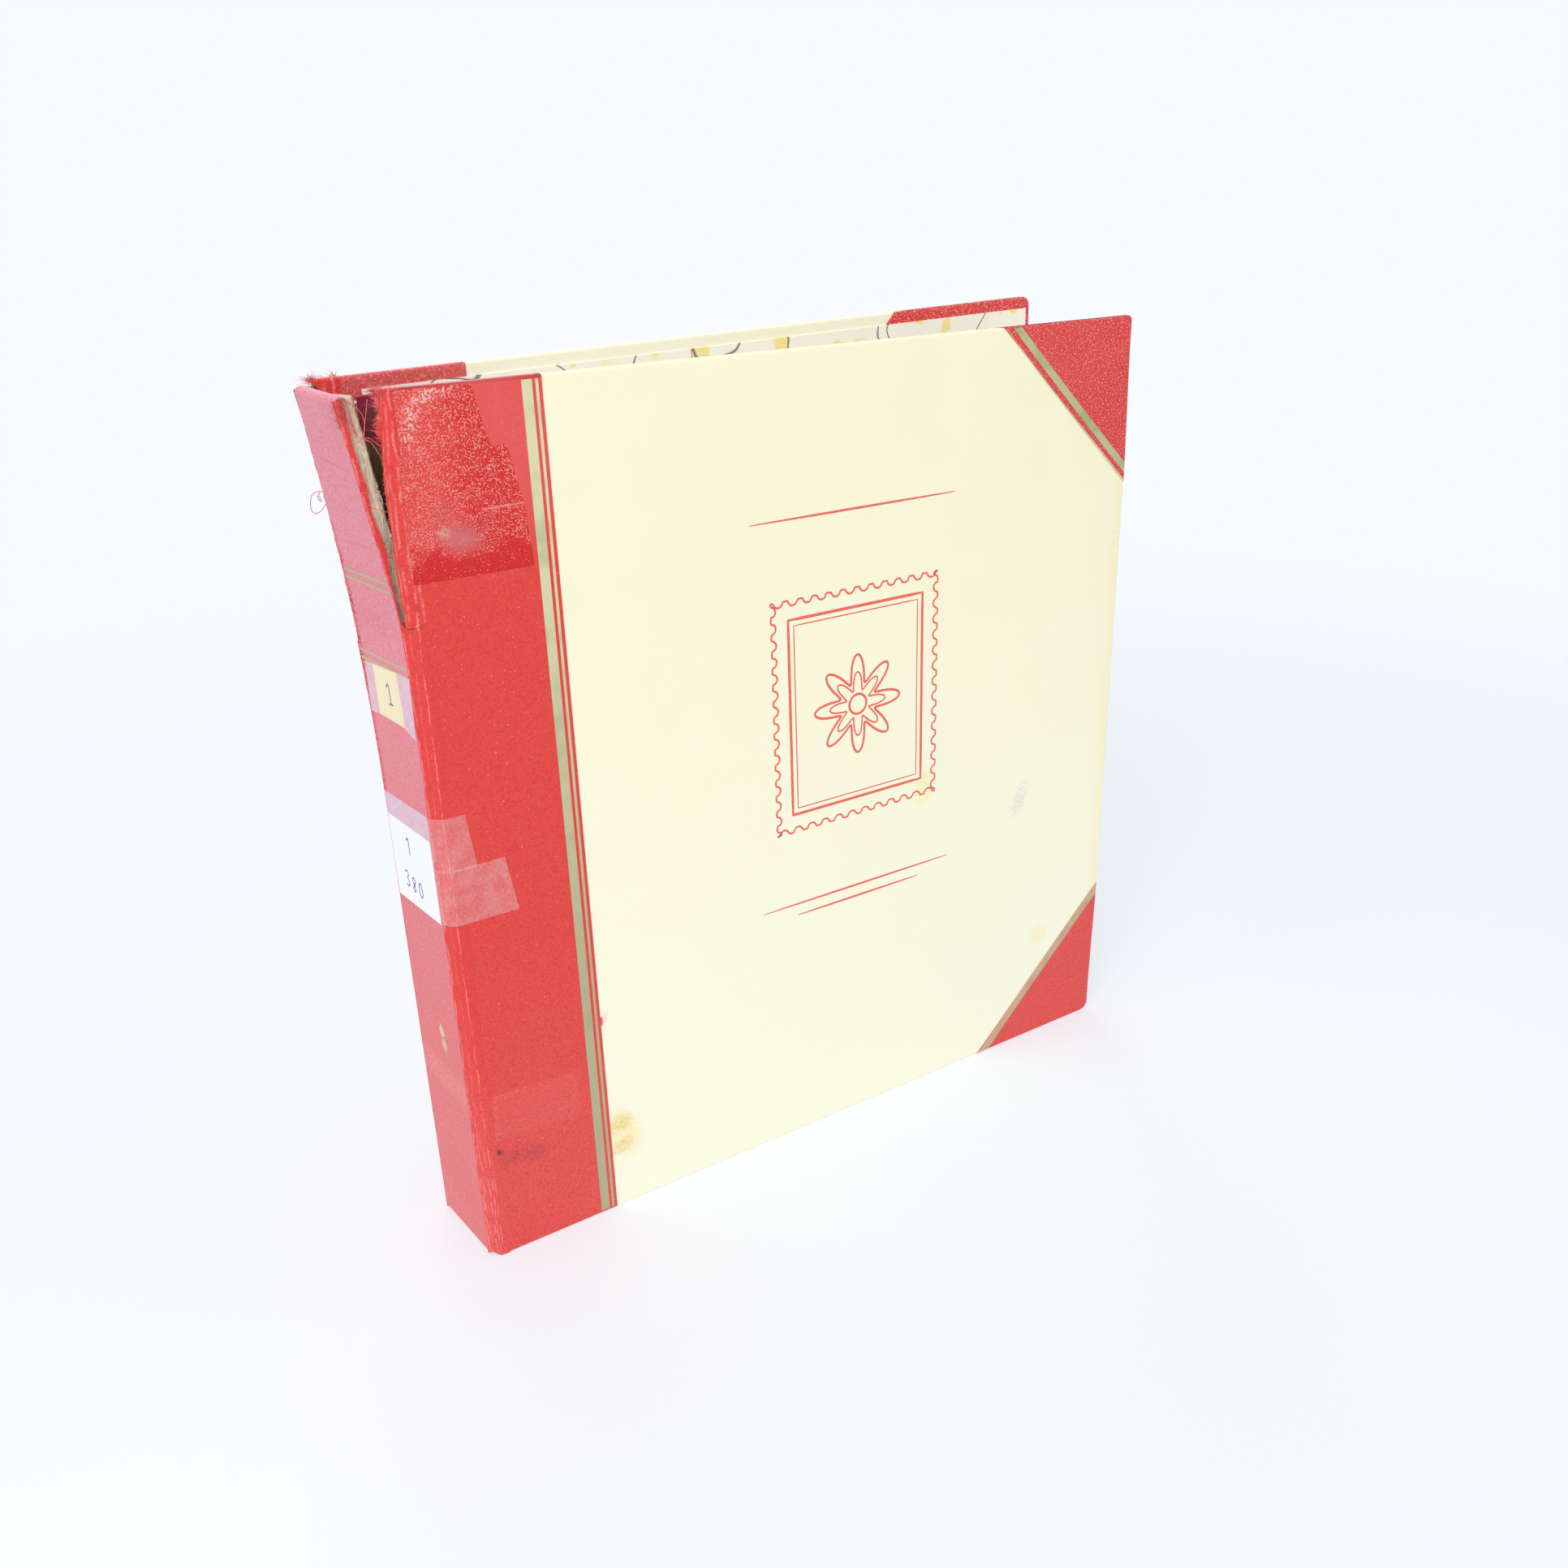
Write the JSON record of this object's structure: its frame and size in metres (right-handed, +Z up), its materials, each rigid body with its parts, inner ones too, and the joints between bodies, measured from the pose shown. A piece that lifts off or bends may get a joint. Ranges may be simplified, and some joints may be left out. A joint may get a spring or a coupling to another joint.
{
  "type": "stamp album",
  "caption": "Half-bound stamp album standing slightly open: red leathercloth spine and corners, cream sides, torn spine head, leaves on screw posts.",
  "frame": {"origin": "centre of the album's footprint on the table", "axes": "+Z up along the covers, +X from the spine towards the fore edge, halving the angle between the covers, +Y from the front cover towards the back cover"},
  "size_m": [0.3194, 0.0586, 0.3249],
  "materials": {
    "red_leathercloth": "fine pebble grain, semi gloss, worn pale along the joints",
    "faded_leathercloth": "sun-faded pink, fine grain, matt",
    "cream_paper": "smooth matt cover paper",
    "greyboard": "rough grey binder's board",
    "printed_endpaper": "matt endpaper with pale yellow tints and fine grey lines",
    "maroon_cloth": "plain-weave binder's cloth",
    "label_paper": "plain gummed label",
    "guard_card": "dyed manila strips",
    "leaf_paper": "heavy album paper with printed frames",
    "brass": "turned brass"
  },
  "bodies": {
    "spine": {"spine_board": "greyboard", "spine_leather": "faded_leathercloth", "front_joint": "red_leathercloth", "back_joint": "red_leathercloth", "spine_lining": "maroon_cloth", "upper_label": "label_paper", "lower_label": "label_paper", "front_flange": "maroon_cloth", "back_flange": "maroon_cloth", "guards": "guard_card", "posts": "brass"},
    "front_cover": {"front_board": "greyboard", "front_quarter_leather": "red_leathercloth", "front_head_corner": "red_leathercloth", "front_tail_corner": "red_leathercloth", "front_side_paper": "cream_paper", "front_hinge_cloth": "maroon_cloth", "front_pastedown": "printed_endpaper"},
    "back_cover": {"back_board": "greyboard", "back_quarter_leather": "red_leathercloth", "back_head_corner": "red_leathercloth", "back_tail_corner": "red_leathercloth", "back_side_paper": "cream_paper", "back_hinge_cloth": "maroon_cloth", "back_pastedown": "printed_endpaper"},
    "leaf_01": {"leaf_01": "leaf_paper"},
    "leaf_02": {"leaf_02": "leaf_paper"},
    "leaf_03": {"leaf_03": "leaf_paper"},
    "leaf_04": {"leaf_04": "leaf_paper"},
    "leaf_05": {"leaf_05": "leaf_paper"},
    "leaf_06": {"leaf_06": "leaf_paper"},
    "leaf_07": {"leaf_07": "leaf_paper"},
    "leaf_08": {"leaf_08": "leaf_paper"},
    "leaf_09": {"leaf_09": "leaf_paper"},
    "leaf_10": {"leaf_10": "leaf_paper"},
    "tail_screw": {"tail_screw": "brass"},
    "middle_screw": {"middle_screw": "brass"},
    "head_screw": {"head_screw": "brass"}
  },
  "joints": [
    {"name": "front_cover_hinge", "type": "hinge", "parent": "spine", "child": "front_cover", "pos_m": [-0.14415, -0.0185, 0], "axis": [0, 0, -1], "range_deg": [-2.8, 154.4]},
    {"name": "back_cover_hinge", "type": "hinge", "parent": "spine", "child": "back_cover", "pos_m": [-0.14686, 0.0184, 0], "axis": [0, 0, 1], "range_deg": [0, 157.8]},
    {"name": "leaf_01_hinge", "type": "hinge", "parent": "spine", "child": "leaf_01", "pos_m": [-0.11134, -0.00828, 0], "axis": [0, 0, -1], "range_deg": [-1.27, 70.18]},
    {"name": "leaf_02_hinge", "type": "hinge", "parent": "spine", "child": "leaf_02", "pos_m": [-0.11151, -0.0059, 0], "axis": [0, 0, -1], "range_deg": [-1.15, 63.16]},
    {"name": "leaf_03_hinge", "type": "hinge", "parent": "spine", "child": "leaf_03", "pos_m": [-0.11168, -0.00353, 0], "axis": [0, 0, -1], "range_deg": [-1.02, 56.15]},
    {"name": "leaf_04_hinge", "type": "hinge", "parent": "spine", "child": "leaf_04", "pos_m": [-0.11186, -0.00116, 0], "axis": [0, 0, -1], "range_deg": [-0.89, 49.13]},
    {"name": "leaf_05_hinge", "type": "hinge", "parent": "spine", "child": "leaf_05", "pos_m": [-0.11203, 0.00122, 0], "axis": [0, 0, -1], "range_deg": [-0.77, 42.11]},
    {"name": "leaf_06_hinge", "type": "hinge", "parent": "spine", "child": "leaf_06", "pos_m": [-0.11221, 0.00359, 0], "axis": [0, 0, -1], "range_deg": [-0.64, 35.09]},
    {"name": "leaf_07_hinge", "type": "hinge", "parent": "spine", "child": "leaf_07", "pos_m": [-0.11238, 0.00596, 0], "axis": [0, 0, -1], "range_deg": [-0.51, 28.07]},
    {"name": "leaf_08_hinge", "type": "hinge", "parent": "spine", "child": "leaf_08", "pos_m": [-0.11256, 0.00834, 0], "axis": [0, 0, -1], "range_deg": [-0.38, 21.05]},
    {"name": "leaf_09_hinge", "type": "hinge", "parent": "spine", "child": "leaf_09", "pos_m": [-0.11273, 0.01071, 0], "axis": [0, 0, -1], "range_deg": [-0.26, 14.04]},
    {"name": "leaf_10_hinge", "type": "hinge", "parent": "spine", "child": "leaf_10", "pos_m": [-0.1129, 0.01309, 0], "axis": [0, 0, -1], "range_deg": [-0.13, 7.02]},
    {"name": "tail_screw_turn", "type": "hinge", "parent": "spine", "child": "tail_screw", "pos_m": [-0.12404, -0.01241, 0.052], "axis": [0.0732, -0.9973, 0], "continuous": true},
    {"name": "middle_screw_turn", "type": "hinge", "parent": "spine", "child": "middle_screw", "pos_m": [-0.12404, -0.01241, 0.16], "axis": [0.0732, -0.9973, 0], "continuous": true},
    {"name": "head_screw_turn", "type": "hinge", "parent": "spine", "child": "head_screw", "pos_m": [-0.12404, -0.01241, 0.268], "axis": [0.0732, -0.9973, 0], "continuous": true}
  ],
  "couplings": [
    {"joint": "leaf_01_hinge", "follows": "front_cover_hinge", "ratio": 0.45455},
    {"joint": "leaf_02_hinge", "follows": "front_cover_hinge", "ratio": 0.40909},
    {"joint": "leaf_03_hinge", "follows": "front_cover_hinge", "ratio": 0.36364},
    {"joint": "leaf_04_hinge", "follows": "front_cover_hinge", "ratio": 0.31818},
    {"joint": "leaf_05_hinge", "follows": "front_cover_hinge", "ratio": 0.27273},
    {"joint": "leaf_06_hinge", "follows": "front_cover_hinge", "ratio": 0.22727},
    {"joint": "leaf_07_hinge", "follows": "front_cover_hinge", "ratio": 0.18182},
    {"joint": "leaf_08_hinge", "follows": "front_cover_hinge", "ratio": 0.13636},
    {"joint": "leaf_09_hinge", "follows": "front_cover_hinge", "ratio": 0.09091},
    {"joint": "leaf_10_hinge", "follows": "front_cover_hinge", "ratio": 0.04545}
  ]
}
